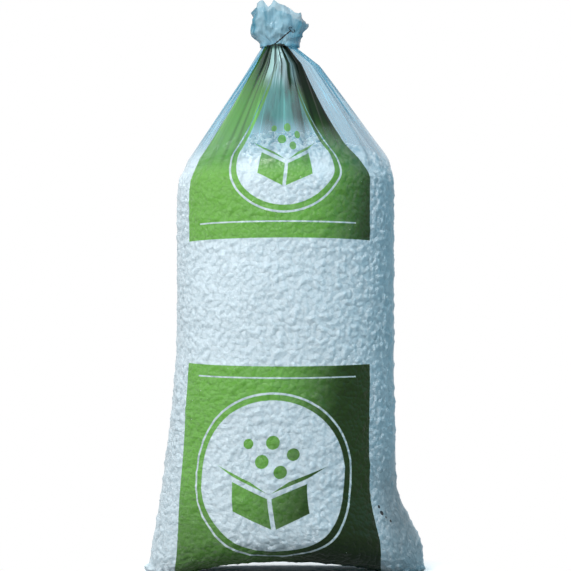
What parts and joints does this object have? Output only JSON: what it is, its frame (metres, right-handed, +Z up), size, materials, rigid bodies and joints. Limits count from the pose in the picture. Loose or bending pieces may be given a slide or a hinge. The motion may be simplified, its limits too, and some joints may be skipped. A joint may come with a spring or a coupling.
{
  "type": "packing peanut bag",
  "caption": "Tall see-through film sack of foam packing peanuts, printed in green, gathered and wire-tied at the neck, with two ears on the bottom weld.",
  "frame": {"origin": "on the floor, under the middle of the sack", "axes": "+Z up from the floor to the frill, -Y out of the printed front, +X to the right seen from the front"},
  "size_m": [0.834, 0.6034, 1.7129],
  "materials": {
    "film": "thin see-through polyethylene film with green printed fields",
    "foam": "white foam peanuts",
    "wire": "dark annealed wire, twisted"
  },
  "bodies": {
    "root": {"sack_film": "film", "peanut_fill": "foam", "wire_tie": "wire", "loose_peanut_01": "foam", "loose_peanut_02": "foam", "loose_peanut_03": "foam", "loose_peanut_04": "foam", "loose_peanut_05": "foam", "loose_peanut_06": "foam", "loose_peanut_07": "foam", "loose_peanut_08": "foam", "loose_peanut_09": "foam", "loose_peanut_10": "foam", "loose_peanut_11": "foam", "loose_peanut_12": "foam", "loose_peanut_13": "foam", "loose_peanut_14": "foam", "loose_peanut_15": "foam", "loose_peanut_16": "foam", "loose_peanut_17": "foam", "loose_peanut_18": "foam", "loose_peanut_19": "foam", "loose_peanut_20": "foam"}
  },
  "joints": []
}
